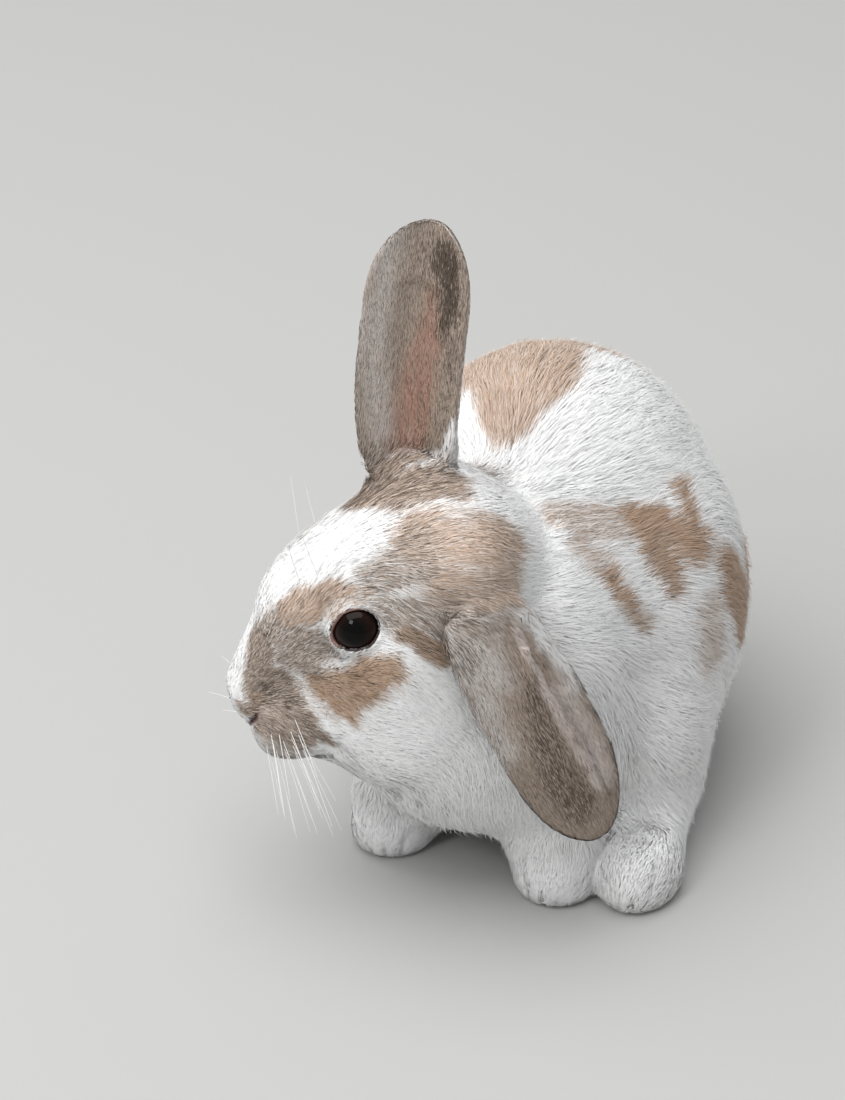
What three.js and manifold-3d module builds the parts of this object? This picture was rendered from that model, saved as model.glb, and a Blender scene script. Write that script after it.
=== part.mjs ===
// A pet rabbit, life size: a young half-lop that crouches with its head turned to its right.
// Millimetres. The body faces -Y, its left side is +X, and +Z is up.
//
// The body is one smooth field: ellipsoids and tapered limbs that melt into each other. Its
// surface is that of the coat, out to the hair tips. It is drawn once for each named part,
// and flat cuts a hair's breadth wide part the pieces. The ears and eyes are solids of their own.

import * as THREE from 'three';
import { mergeVertices } from 'three/addons/utils/BufferGeometryUtils.js';
import Module from 'manifold-3d';

const wasm = await Module();
wasm.setup();

// ---------------------------------------------------------------- driving dimensions

const GAP = 0.3; // between parts that touch
const OVERRUN = 9; // how far a part is drawn past its cuts before they are made
const MARCH_STEP = 1.5; // how far a search for the surface moves at a time
const HALVINGS = 12; // how often the last step of that search is halved
const FAR = 500; // a length beyond everything

const HALF_WIDTH = 62; // of the haunches
const BACK_HEIGHT = 133; // the top of the back
const RUMP_END = 156; // how far the rump reaches behind the forepaws

// The head: the point midway between the eyes, and the way the head is turned.
const HEAD_CENTRE = new THREE.Vector3(-40.6, 1.3, 95.8);
const HEAD_TURN = 70; // degrees to the animal's right of straight ahead
const HEAD_NOD = 28; // degrees nose-down
const HEAD_ROLL = 6; // degrees, left side raised
const EYE_OFFSET = 16.4; // from the midline to the middle of each eyeball
const EYE_RADIUS = 8.6;

const ERECT_EAR_WIDTH = 32;
const HANGING_EAR_WIDTH = 30;
const EAR_WALL = 3.2;

const PAW_WIDTH = 27;
const HIND_FOOT_LENGTH = 94;
const BELLY_CLEARANCE = 5; // the belly fur hangs this high above the floor

const COLOURS = {
  white: 0xe9e6e1,
  fawn: 0xb99a80,
  smoke: 0x8f7d72,
  eye: 0x140c0a,
};

const vec = (x, y, z) => new THREE.Vector3(x, y, z);

// ---------------------------------------------------------------- fields
// A field is a function of a point: negative inside the shape, positive outside.

function ellipsoid(centre, radii) {
  const q = vec(0, 0, 0);
  return (p) => {
    const near = q.copy(p).sub(centre).divide(radii).length();
    const slope = q.divide(radii).length();
    return slope > 0 ? (near * (near - 1)) / slope : -Math.min(radii.x, radii.y, radii.z);
  };
}

// A limb is the hull of two balls.
function limb(a, b, radiusA, radiusB) {
  const axis = b.clone().sub(a);
  const length = axis.length();
  axis.divideScalar(length);
  const lean = (radiusA - radiusB) / length;
  const upright = Math.sqrt(1 - lean * lean);
  const q = vec(0, 0, 0);
  return (p) => {
    q.copy(p).sub(a);
    const along = q.dot(axis);
    const aside = Math.sqrt(Math.max(q.lengthSq() - along * along, 0));
    const t = along + (aside * lean) / upright;
    if (t <= 0) return Math.hypot(along, aside) - radiusA;
    if (t >= length) return Math.hypot(along - length, aside) - radiusB;
    return aside * upright + along * lean - radiusA;
  };
}

function melt(width, ...fields) {
  return (p) => fields.map((field) => field(p)).reduce((d, e) => {
    const overlap = Math.max(width - Math.abs(d - e), 0) / width;
    return Math.min(d, e) - (overlap * overlap * width) / 4;
  });
}

function hollow(width, field, tool) {
  const filled = melt(width, (p) => -field(p), tool);
  return (p) => -filled(p);
}

// ---------------------------------------------------------------- solids

function solidOf(geometry) {
  const bare = geometry.clone();
  for (const name of Object.keys(bare.attributes)) {
    if (name !== 'position') bare.deleteAttribute(name);
  }
  const merged = mergeVertices(bare, 1e-4);
  return new wasm.Manifold(new wasm.Mesh({
    numProp: 3,
    vertProperties: new Float32Array(merged.attributes.position.array),
    triVerts: new Uint32Array(merged.index.array),
  }));
}

// The skin of a field, drawn outwards from a point inside it in evenly spread directions.
function skin(field, centre, stretch, detail) {
  const geometry = new THREE.IcosahedronGeometry(1, detail);
  const position = geometry.attributes.position;
  const direction = vec(0, 0, 0);
  const p = vec(0, 0, 0);
  const outside = (reach) => field(p.copy(direction).multiplyScalar(reach).add(centre)) > 0;
  for (let i = 0; i < position.count; i += 1) {
    direction.fromBufferAttribute(position, i).multiply(stretch).normalize();
    let far = MARCH_STEP;
    while (!outside(far)) far += MARCH_STEP;
    let near = far - MARCH_STEP;
    for (let n = 0; n < HALVINGS; n += 1) {
      const middle = (near + far) / 2;
      if (outside(middle)) far = middle;
      else near = middle;
    }
    p.copy(direction).multiplyScalar(near).add(centre);
    position.setXYZ(i, p.x, p.y, p.z);
  }
  return solidOf(geometry);
}

// A region is the space behind a few planes. Each plane is a point on it and the way out.
function region(...faces) {
  const planes = faces.map(([point, out]) => {
    const normal = out.clone().normalize();
    return new THREE.Plane(normal, -normal.dot(point));
  });
  const beyond = (p) => Math.max(...planes.map((plane) => plane.distanceToPoint(p)));
  const solid = (shift) => planes.map((plane) => {
    const box = new THREE.BoxGeometry(2 * FAR, 2 * FAR, FAR).translate(0, 0, shift - FAR / 2);
    box.applyQuaternion(new THREE.Quaternion().setFromUnitVectors(vec(0, 0, 1), plane.normal));
    const foot = plane.normal.clone().multiplyScalar(-plane.constant);
    return solidOf(box.translate(foot.x, foot.y, foot.z));
  }).reduce((a, b) => a.intersect(b));
  return { beyond, within: solid(-GAP / 2), without: solid(GAP / 2) };
}

// ---------------------------------------------------------------- trunk, tail and legs

const rumpCentre = vec(-4, RUMP_END - 64, BACK_HEIGHT - 66);
const trunkField = melt(26,
  ellipsoid(rumpCentre, vec(HALF_WIDTH - 6, 64, 66)),
  ellipsoid(vec(-2, 28, BACK_HEIGHT * 0.5), vec(41, 40, 46)),
  ellipsoid(vec(-3, 6, 52), vec(31, 21, 30)),
  ellipsoid(vec(-19, -3, 60), vec(20, 18, 22)),
  ellipsoid(vec(0, 76, 42), vec(40, 56, 32)));

const tailField = limb(vec(-3, RUMP_END - 3, 42), vec(-3, RUMP_END + 5, 60), 14, 10);

// A foreleg stands on its paw. Its column leans a little backwards up to the chest.
function forelegField(x, toe) {
  return melt(8,
    ellipsoid(vec(x, toe + 14, 6), vec(PAW_WIDTH / 2, 14, 15)),
    limb(vec(x, toe + 19, 11), vec(x * 0.92, toe + 30, 50), 12, 17));
}

// A hind leg is a broad thigh, a knee in front of it, and a long foot flat on the floor.
function hindLegField(x, toe) {
  const side = Math.sign(x);
  return melt(14,
    ellipsoid(vec(side * (HALF_WIDTH - 26), toe + 86, 54), vec(26, 47, 44)),
    ellipsoid(vec(side * (HALF_WIDTH - 22), toe + 50, 34), vec(19, 25, 25)),
    ellipsoid(vec(x, toe + 15, 6), vec(11.8, 15, 14)),
    limb(vec(x, toe + 22, 7), vec(x * 0.88, toe + HIND_FOOT_LENGTH - 10, 9), 10.8, 10.8));
}

const foreLeft = { x: 22.5, toe: -9 };
const foreRight = { x: -33, toe: 2 };
const hindLeft = { x: 46.5, toe: -6 };
const hindRight = { x: -42, toe: 34 };

// ---------------------------------------------------------------- head and neck
// The head has its own frame: x forward to the nose, y to its left, z up.

const turnBy = (x, y, z, degrees) => new THREE.Quaternion()
  .setFromAxisAngle(vec(x, y, z), THREE.MathUtils.degToRad(degrees));
const headTurn = turnBy(0, 0, 1, -90 - HEAD_TURN)
  .multiply(turnBy(0, 1, 0, HEAD_NOD))
  .multiply(turnBy(1, 0, 0, HEAD_ROLL));
const headTurnBack = headTurn.clone().invert();
const alongHead = (x, y, z) => vec(x, y, z).applyQuaternion(headTurn);
const fromHead = (x, y, z) => alongHead(x, y, z).add(HEAD_CENTRE);

function inHeadFrame(field) {
  const q = vec(0, 0, 0);
  return (p) => field(q.copy(p).sub(HEAD_CENTRE).applyQuaternion(headTurnBack));
}

// Paired features are made once, on the left, and the point is folded over to that side.
function paired(field) {
  const q = vec(0, 0, 0);
  return (p) => field(q.set(p.x, Math.abs(p.y), p.z));
}

const skull = melt(10,
  ellipsoid(vec(-18, 0, 3), vec(30, 24, 22)),
  ellipsoid(vec(0, 0, 5), vec(24, 18, 18.5)),
  limb(vec(12, 0, 3), vec(38, 0, -9.5), 15, 9),
  ellipsoid(vec(0, 0, -20), vec(31, 18, 20)));
const cheeks = paired(ellipsoid(vec(-15, 13, -16), vec(25, 17, 21)));
const earRoots = melt(6,
  ellipsoid(vec(-30, -15, 12), vec(14, 13, 13)),
  ellipsoid(vec(-38, 20, 1), vec(14, 13, 12)));
const nose = ellipsoid(vec(42, 0, -14.5), vec(7, 8, 8.5));
const pads = paired(ellipsoid(vec(35, 8, -25), vec(12.5, 9.5, 11)));
const chin = ellipsoid(vec(24, 0, -32), vec(15, 11, 9));
const face = melt(6, melt(10, skull, cheeks, earRoots), nose, pads, chin);
const eyeDish = paired(ellipsoid(vec(0, 29, -0.5), vec(12, 7, 10)));
const headField = inHeadFrame(hollow(4, face, eyeDish));
const neckField = limb(fromHead(-32, 0, -5), vec(-2, 32, 80), 25, 34);

const coreField = melt(16, melt(14, trunkField, neckField), headField, tailField);
const withLeg = (legField) => melt(14, coreField, legField);

// ---------------------------------------------------------------- where the body is parted

const aboveFloor = [vec(0, 0, 0), vec(0, 0, -1)];
const nape = fromHead(-49, 0, 0);
const behindHead = [nape, alongHead(-1, 0, -0.2)];
const jaw = fromHead(-10, 0, -38);
const underJaw = [jaw, alongHead(-0.35, -0.2, -1)];
const belowJaw = [jaw, alongHead(0.35, 0.2, 1)];
const besideHead = [fromHead(0, -32, 0), alongHead(0, -1, 0)];
const underChin = [vec(0, 0, 84), vec(0, 0, -1)];
const acrossFace = fromHead(15, 0, 0);

const muzzleRegion = region([acrossFace, alongHead(-1, 0, 0)], underJaw, besideHead);
const headRegion = region([acrossFace, alongHead(1, 0, 0)], underJaw, behindHead, besideHead);
const neckRegion = region(
  [nape, alongHead(1, 0, 0.2)],
  [vec(-2, 34, 100), vec(0.25, 0.85, -0.45)],
  underChin);
const tailRegion = region(
  [vec(0, RUMP_END - 5, 50), vec(0, -1, -0.12)],
  [vec(0, 0, 80), vec(0, 0, 1)],
  [vec(17, 0, 0), vec(1, 0, 0)],
  [vec(-23, 0, 0), vec(-1, 0, 0)]);

function foreRegions({ x, toe }) {
  const side = Math.sign(x);
  const wrist = vec(x, toe, 20);
  const elbow = vec(x, toe, 46);
  const inner = [vec(x - side * (PAW_WIDTH / 2 + 2), 0, 0), vec(-side, 0, 0)];
  const outer = [vec(x + side * (PAW_WIDTH / 2 - 1), 0, 0), vec(side, 0, 0)];
  const heel = [vec(x, toe + 31, 0), vec(0, 1, 0)];
  const rear = [vec(x, toe + 42, 0), vec(0, 1, 0)];
  return {
    paw: region([wrist, vec(0, 0, 1)], aboveFloor, inner, outer, heel),
    column: region([wrist, vec(0, 0, -1)], [elbow, vec(0, 0.2, 1)], inner, outer, rear, belowJaw),
  };
}

function hindRegions({ x, toe }) {
  const side = Math.sign(x);
  const front = [vec(x, toe + 24, 0), vec(0, -1, 0)];
  const inner = [vec(x - side * 11.5, 0, 0), vec(-side, 0, 0)];
  const toes = [vec(x, toe - 0.5, 0), vec(0, -1, 0)];
  return {
    foot: region([vec(x, toe, 19), vec(0, 0, 1)], aboveFloor, inner, toes),
    thigh: region(
      [vec(x, toe, 19), vec(0, 0, -1)],
      [vec(x, toe, 96), vec(0, 0, 1)],
      [vec(side * (HALF_WIDTH - 26), 0, 0), vec(-side, 0, 0)],
      front),
  };
}

const fore = [foreLeft, foreRight].map((leg) => ({
  ...foreRegions(leg), field: withLeg(forelegField(leg.x, leg.toe)), ...leg }));
const hind = [hindLeft, hindRight].map((leg) => ({
  ...hindRegions(leg), field: withLeg(hindLegField(leg.x, leg.toe)), ...leg }));

// ---------------------------------------------------------------- the parts of the body

function bodyPart(field, place, centre, stretch, detail) {
  const drawn = (p) => Math.max(field(p), place.beyond(p) - OVERRUN);
  return skin(drawn, centre, stretch, detail).intersect(place.within);
}

const head = bodyPart(coreField, headRegion, fromHead(-12, 0, -6), vec(1, 1, 1), 9);
const muzzle = bodyPart(coreField, muzzleRegion, fromHead(24, 0, -15), vec(1, 1, 1), 6);
const neck = bodyPart(coreField, neckRegion, vec(-6, 24, 104), vec(1, 1, 1), 5);
const tail = bodyPart(coreField, tailRegion, vec(-3, RUMP_END, 50), vec(1, 1, 1.2), 3);

const otherRegions = [muzzleRegion, headRegion, neckRegion, tailRegion,
  ...fore.flatMap((leg) => [leg.paw, leg.column]),
  ...hind.flatMap((leg) => [leg.foot, leg.thigh])];
function trunkDrawn(p) {
  const deepest = Math.max(...otherRegions.map((place) => -place.beyond(p)));
  const body = Math.min(...[...fore, ...hind].map((leg) => leg.field(p)));
  return Math.max(body, deepest - OVERRUN);
}
const trunk = otherRegions.reduce(
  (solid, place) => solid.subtract(place.without),
  skin(trunkDrawn, vec(-2, 62, 66), vec(0.8, 1.25, 1), 8))
  .intersect(region([vec(0, 0, BELLY_CLEARANCE), vec(0, 0, -1)]).within);

// ---------------------------------------------------------------- eyes

const eyes = [1, -1].map((side) => {
  const centre = fromHead(-1, side * EYE_OFFSET, -1.5);
  const ball = (radius) => solidOf(new THREE.SphereGeometry(radius, 14, 10)
    .translate(centre.x, centre.y, centre.z));
  return { ball: ball(EYE_RADIUS), socket: ball(EYE_RADIUS + GAP) };
});

// ---------------------------------------------------------------- ears
// An ear is a cupped leaf: a curved midrib, a width that swells and rounds off at the tip,
// and a cross-section bent into an arc. Its walls close at both edges.

const EAR_STEPS = 15;
const EAR_ACROSS = 8;
const EAR_ROUNDING = 0.72; // how far along the ear its tip begins to round off

function earHalfWidth(width, rootShare, t) {
  const root = THREE.MathUtils.lerp(rootShare, 1, THREE.MathUtils.smoothstep(t, 0, 0.5));
  const past = Math.max(t - EAR_ROUNDING, 0) / (1 - EAR_ROUNDING);
  return (width / 2) * root * (1 - past ** 2.4) ** 0.5;
}

// The midrib passes through the spine's points, and the hollow side looks along facing.
function ear(spine, facing, width, rootShare, cupAtRoot, cupAtTip) {
  const curve = new THREE.CatmullRomCurve3(spine);
  const vertices = [];
  const ringSize = 2 * (EAR_ACROSS + 1);
  for (let i = 0; i <= EAR_STEPS; i += 1) {
    const t = 0.995 * Math.sin(((i / EAR_STEPS) * Math.PI) / 2);
    const centre = curve.getPoint(t);
    const along = curve.getTangent(t);
    const front = facing.clone().addScaledVector(along, -facing.dot(along)).normalize();
    const across = along.clone().cross(front);
    const bend = THREE.MathUtils.lerp(cupAtRoot, cupAtTip, t);
    const radius = earHalfWidth(width, rootShare, t) / Math.sin(bend);
    const wall = EAR_WALL * (1 - 0.4 * t) * Math.min(1, 0.2 + 4 * (1 - t));
    for (const face of [1, -1]) {
      for (let j = 0; j <= EAR_ACROSS; j += 1) {
        const s = face * (2 * (j / EAR_ACROSS) - 1);
        const reach = radius + face * (wall / 2) * (1 - 0.7 * s ** 4);
        vertices.push(centre.clone()
          .addScaledVector(across, reach * Math.sin(s * bend))
          .addScaledVector(front, radius - reach * Math.cos(s * bend)));
      }
    }
  }
  const indices = [];
  for (let i = 0; i < EAR_STEPS; i += 1) {
    for (let j = 0; j < ringSize; j += 1) {
      const a = i * ringSize + j;
      const b = i * ringSize + ((j + 1) % ringSize);
      indices.push(a, b + ringSize, b, a, a + ringSize, b + ringSize);
    }
  }
  const lastRing = EAR_STEPS * ringSize;
  for (let j = 0; j < EAR_ACROSS; j += 1) {
    const k = ringSize - 1 - j;
    indices.push(j, j + 1, k - 1, j, k - 1, k);
    indices.push(lastRing + j, lastRing + k - 1, lastRing + j + 1);
    indices.push(lastRing + j, lastRing + k, lastRing + k - 1);
  }
  const geometry = new THREE.BufferGeometry().setFromPoints(vertices);
  geometry.setIndex(indices);
  return solidOf(geometry);
}

const nearHead = (p) => Math.max(coreField(p) - 2 * GAP, p.distanceTo(HEAD_CENTRE) - 75);
const headClearance = skin(nearHead, fromHead(-10, 0, -4), vec(1, 1, 1), 9);

const earRight = ear(
  [fromHead(-28, -17, 10), vec(-28.6, 26, 138), vec(-26.5, 28, 177), vec(-22.5, 29, 209)],
  vec(-0.08, -0.9, 0.3), ERECT_EAR_WIDTH, 0.62, 1.15, 0.8).subtract(headClearance);
const earLeft = ear(
  [fromHead(-37, 24, 6), fromHead(-37, 33, -12), fromHead(-37.5, 36.5, -37), fromHead(-37, 37, -62),
    fromHead(-35, 35, -90)],
  vec(-0.62, 0.83, -0.28), HANGING_EAR_WIDTH, 0.6, 0.7, 0.5).subtract(headClearance);

// ---------------------------------------------------------------- the named parts

const rabbit = new THREE.Group();

function largestPiece(solid) {
  return solid.decompose().reduce((a, b) => (b.volume() > a.volume() ? b : a));
}

function add(name, solid, colour, roughness = 0.9) {
  const mesh = largestPiece(solid).getMesh();
  const geometry = new THREE.BufferGeometry();
  geometry.setAttribute('position', new THREE.BufferAttribute(mesh.vertProperties, 3));
  geometry.setIndex(new THREE.BufferAttribute(mesh.triVerts, 1));
  const material = new THREE.MeshStandardMaterial({ color: colour, roughness, metalness: 0 });
  const node = new THREE.Mesh(geometry, material);
  node.name = name;
  rabbit.add(node);
}

add('head', head.subtract(eyes[0].socket).subtract(eyes[1].socket), COLOURS.white);
add('muzzle', muzzle, COLOURS.fawn);
add('neck', neck, COLOURS.fawn);
add('trunk', trunk, COLOURS.white);
add('tail', tail, COLOURS.white);
add('ear_left', earLeft, COLOURS.smoke);
add('ear_right', earRight, COLOURS.smoke);
['left', 'right'].forEach((sideName, i) => {
  add(`eye_${sideName}`, eyes[i].ball, COLOURS.eye, 0.1);
  const { paw, column, field, x, toe } = fore[i];
  add(`forepaw_${sideName}`, bodyPart(field, paw, vec(x, toe + 15, 9), vec(1, 1, 1), 4), COLOURS.white);
  add(`foreleg_${sideName}`, bodyPart(field, column, vec(x, toe + 24, 33), vec(1, 1, 1.2), 3), COLOURS.white);
});
['left', 'right'].forEach((sideName, i) => {
  const { foot, thigh, field, x, toe } = hind[i];
  const side = Math.sign(x);
  add(`hind_foot_${sideName}`,
    bodyPart(field, foot, vec(x, toe + 40, 9), vec(0.5, 1.6, 0.5), 4), COLOURS.white);
  add(`thigh_${sideName}`,
    bodyPart(field, thigh, vec(side * (HALF_WIDTH - 20), toe + 74, 52), vec(0.8, 1.3, 1.1), 5),
    COLOURS.fawn);
});

// The origin is on the floor, under the middle of the whole animal's box.
const box = new THREE.Box3().setFromObject(rabbit);
rabbit.position.set(-(box.min.x + box.max.x) / 2, -(box.min.y + box.max.y) / 2, -box.min.z);

export default rabbit;
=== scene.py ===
import math

import bmesh
import bpy
import numpy as np
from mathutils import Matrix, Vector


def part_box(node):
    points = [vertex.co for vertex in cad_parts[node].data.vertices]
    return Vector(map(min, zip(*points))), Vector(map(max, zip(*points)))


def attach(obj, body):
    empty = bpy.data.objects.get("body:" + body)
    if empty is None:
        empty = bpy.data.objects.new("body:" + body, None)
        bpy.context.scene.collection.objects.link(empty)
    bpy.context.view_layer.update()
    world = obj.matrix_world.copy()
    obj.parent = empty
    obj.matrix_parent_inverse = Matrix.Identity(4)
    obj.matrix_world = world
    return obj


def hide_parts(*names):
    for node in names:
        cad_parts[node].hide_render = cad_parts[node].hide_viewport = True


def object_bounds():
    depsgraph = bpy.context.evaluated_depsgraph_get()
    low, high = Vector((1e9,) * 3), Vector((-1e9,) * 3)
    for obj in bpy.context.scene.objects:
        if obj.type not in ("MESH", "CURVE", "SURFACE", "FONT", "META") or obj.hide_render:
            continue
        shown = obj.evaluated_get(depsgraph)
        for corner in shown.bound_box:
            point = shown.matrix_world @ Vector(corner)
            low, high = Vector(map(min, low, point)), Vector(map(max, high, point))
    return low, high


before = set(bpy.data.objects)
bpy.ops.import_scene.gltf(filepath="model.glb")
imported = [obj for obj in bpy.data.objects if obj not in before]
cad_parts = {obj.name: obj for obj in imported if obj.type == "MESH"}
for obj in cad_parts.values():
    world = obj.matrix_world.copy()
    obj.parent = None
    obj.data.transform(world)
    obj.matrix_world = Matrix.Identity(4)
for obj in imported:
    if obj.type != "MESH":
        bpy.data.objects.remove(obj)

import openvdb
from mathutils import Vector

cad_box = [list(corner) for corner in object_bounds()]

# ------------------------ camera
# The camera stands a little to the animal's left and looks down on it from above its back,
# with a long lens. It is aimed from the left eye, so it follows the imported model.


def middle_of(node):
    low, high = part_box(node)
    return (low + high) / 2


left_eye = middle_of("eye_left")
right_eye = middle_of("eye_right")

camera_azimuth = math.radians(16)
camera_elevation = math.radians(31)
camera_distance = 1.2
camera_aim = left_eye + Vector((0.0055, 0.0489, -0.0022))
towards_camera = Vector((
    math.sin(camera_azimuth) * math.cos(camera_elevation),
    -math.cos(camera_azimuth) * math.cos(camera_elevation),
    math.sin(camera_elevation)))


def put_in_scene(name, data):
    made = bpy.data.objects.new(name, data)
    bpy.context.scene.collection.objects.link(made)
    return made


camera_data = bpy.data.cameras.new("camera")
camera_data.lens = 129.6
camera_data.sensor_width = 36
camera = put_in_scene("camera", camera_data)
camera.location = camera_aim + camera_distance * towards_camera
camera.rotation_euler = (-towards_camera).to_track_quat("-Z", "Y").to_euler()
bpy.context.scene.camera = camera

# ------------------------ the head's own axes
# The head is turned to the animal's right, nose down. Places on it are given forward of,
# to the left of and above the point between the eyes, in millimetres.

MM = 0.001
head_turn = math.radians(-160)
head_nod = math.radians(28)
head_left = np.array((left_eye - right_eye).normalized())
head_forward = np.array((
    math.cos(head_turn) * math.cos(head_nod),
    math.sin(head_turn) * math.cos(head_nod),
    -math.sin(head_nod)))
head_forward -= head_left * head_forward.dot(head_left)
head_forward /= np.linalg.norm(head_forward)
head_up = np.cross(head_forward, head_left)
head_axes = np.array([head_forward, head_left, head_up])
eyes_behind_middle = 1.0
eyes_below_middle = 1.5
head_middle = (np.array(left_eye + right_eye) / 2 / MM
               + head_forward * eyes_behind_middle + head_up * eyes_below_middle)


def on_head(forward, left, up):
    return head_middle + np.array([forward, left, up]) @ head_axes


def in_head(points):
    return (points - head_middle) @ head_axes.T


# ------------------------ skin
# One skin covers head, neck, trunk, limbs, tail and ears. The nodes of flesh are melted into
# one field of distances, which is drawn in by the coat's depth, and eyelids, nostrils, mouth,
# cheek folds and toes are worked into it before its surface is taken.

grain = 0.9  # the field's spacing, in millimetres
margin = 6.0
flesh = [name for name in sorted(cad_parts) if not name.startswith("eye_")]

field_low = np.array(cad_box[0]) / MM - margin
field_high = np.array(cad_box[1]) / MM + margin
field_shape = tuple(int(n) for n in np.ceil((field_high - field_low) / grain))
to_field = openvdb.createLinearTransform(grain)


def level_set(points, triangles, outside, inside):
    grid = openvdb.FloatGrid.createLevelSetFromPolygons(
        (points - field_low).astype(np.float32), triangles=triangles.astype(np.uint32),
        transform=to_field, exBandWidth=outside, inBandWidth=inside)
    values = np.zeros(field_shape, np.float32)
    grid.copyToArray(values)
    return values


def surface_of(values, level):
    grid = openvdb.FloatGrid(10.0)
    grid.copyFromArray(values)
    grid.transform = to_field
    points, triangles, quads = grid.convertToPolygons(isovalue=level)
    triangles = np.concatenate([triangles, quads[:, [0, 1, 2]], quads[:, [0, 2, 3]]])
    return points + field_low, triangles


def blurred(values, spread):
    reach = int(math.ceil(2.5 * spread))
    weights = np.exp(-0.5 * (np.arange(-reach, reach + 1) / spread) ** 2)
    weights /= weights.sum()
    for axis in range(3):
        padded = np.pad(values, [(reach, reach) if a == axis else (0, 0) for a in range(3)], "edge")
        total = np.zeros_like(values)
        for k, weight in enumerate(weights):
            part = [slice(None)] * 3
            part[axis] = slice(k, k + values.shape[axis])
            total += weight * padded[tuple(part)]
        values = total
    return values


def mesh_arrays(node):
    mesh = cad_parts[node].data
    mesh.calc_loop_triangles()
    points = np.empty(len(mesh.vertices) * 3, np.float32)
    mesh.vertices.foreach_get("co", points)
    triangles = np.empty(len(mesh.loop_triangles) * 3, np.int32)
    mesh.loop_triangles.foreach_get("vertices", triangles)
    points, welded = np.unique(points.reshape(-1, 3).round(7), axis=0, return_inverse=True)
    return points / MM, welded.reshape(-1)[triangles].reshape(-1, 3)


nearest = np.full(field_shape, 1e3, np.float32)
ears_field = nearest.copy()
body_field = nearest.copy()
owner = np.zeros(field_shape, np.int8)
for index, node in enumerate(flesh):
    own = level_set(*mesh_arrays(node), 6, 6)
    closer = own < nearest
    nearest[closer] = own[closer]
    owner[closer] = index
    if node.startswith("ear_"):
        ears_field = np.minimum(ears_field, own)
    else:
        body_field = np.minimum(body_field, own)

# The cuts between the nodes are closed, then the distance to the body's outline is measured anew.
closing = 0.5
outline = blurred(level_set(*surface_of(body_field, closing), 8, 20), 1.6) + closing

# How far each part's influence reaches, on a coarser field: parts shade into their neighbours.
coarse = 3
coarse_grain = grain * coarse
coarse_owner = owner[::coarse, ::coarse, ::coarse]
coarse_solid = (nearest[::coarse, ::coarse, ::coarse] < 2).astype(np.float32)
nearby_solid = blurred(coarse_solid, 1.6) + 1e-4
influence = {
    node: blurred(coarse_solid * (coarse_owner == index), 1.6) / nearby_solid
    for index, node in enumerate(flesh)}


def shaded(amounts):
    """A number for each part or pair of parts, shaded from part to part, on the coarse field."""
    return sum(influence[node] * amount for part, amount in amounts.items()
               for node in flesh if node.startswith(part))


def refined(values):
    for axis, count in enumerate(field_shape):
        at = np.arange(count) / coarse
        low = np.minimum(at.astype(int), values.shape[axis] - 2)
        shape = [1, 1, 1]
        shape[axis] = count
        share = (at - low).astype(np.float32).reshape(shape)
        values = np.take(values, low, axis) * (1 - share) + np.take(values, low + 1, axis) * share
    return values


coat_depth = refined(shaded({
    "muzzle": 1.3, "head": 2.4, "ear": 2.0, "neck": 3.6, "trunk": 3.8, "tail": 4.0,
    "foreleg": 3.2, "forepaw": 1.4, "thigh": 3.6, "hind_foot": 1.4}))

axes_at = [field_low[a] + grain * np.arange(field_shape[a], dtype=np.float32) for a in range(3)]


def around(centre, reach):
    """The block of the field around a place: where it lies, and the points in it."""
    spans = [slice(max(int((centre[a] - reach - field_low[a]) / grain), 0),
                   min(int((centre[a] + reach - field_low[a]) / grain) + 2, field_shape[a]))
             for a in range(3)]
    block = np.stack(np.meshgrid(*[axes_at[a][spans[a]] for a in range(3)], indexing="ij"), -1)
    return tuple(spans), block


def melted(a, b, width):
    overlap = np.maximum(width - np.abs(a - b), 0) / width
    return np.minimum(a, b) - overlap ** 2 * width / 4


def from_path(at, path):
    """How far each point is from a bent line through the path's places."""
    nearest = np.inf
    for a, b in zip(path, path[1:]):
        spine = b - a
        along = np.clip((at - a) @ spine / spine.dot(spine), 0, 1)
        nearest = np.minimum(nearest, np.linalg.norm(at - a - along[..., None] * spine, axis=-1))
    return nearest


# The tip of the nose is all but bare.
spans, block = around(on_head(46, 0, -17), 14)
from_nose_tip = np.linalg.norm(block - on_head(46, 0, -17), axis=-1)
coat_depth[spans] = np.minimum(coat_depth[spans], 0.4 + 0.15 * np.maximum(from_nose_tip - 5, 0))

# Eyelids: a shell over each eyeball with an almond opening, whose front corner points to the nose.
eye_radius = 8.4
lid_thickness = 0.9
opening_half_length = 7.7
opening_half_height = 6.1
eye_places = []
for side, eye in ((1, left_eye), (-1, right_eye)):
    centre = in_head(np.array(eye) / MM)
    gaze = np.array([0.10, 0.97 * side, 0.20])
    gaze /= np.linalg.norm(gaze)
    corner = np.array([0.99, 0, -0.08])
    corner -= gaze * corner.dot(gaze)
    corner /= np.linalg.norm(corner)
    brow = np.cross(gaze, corner) * side
    eye_places.append((centre, gaze, corner, brow))

skin_field = outline + coat_depth
for centre, gaze, corner, brow in eye_places:
    spans, block = around(head_middle + centre @ head_axes, 26)
    offset = in_head(block) - centre
    reach = np.linalg.norm(offset, axis=-1)
    along, above, out = offset @ corner, offset @ brow, offset @ gaze
    face = outline[spans] + np.minimum(coat_depth[spans], 0.9 + 0.22 * np.maximum(reach - 9, 0))
    lids = reach - (eye_radius + lid_thickness)
    pinch = np.where(along > 0, 1 + 0.035 * along, 1)
    opening = np.hypot(along / opening_half_length, above * pinch / opening_half_height) - 1
    opening = np.maximum(opening * opening_half_height, -out)
    face = melted(face, lids, 3.0)
    face = -melted(-face, opening, 1.0)
    ball = reach - (eye_radius + 0.1)
    skin_field[spans] = np.maximum(face, -ball)

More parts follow.
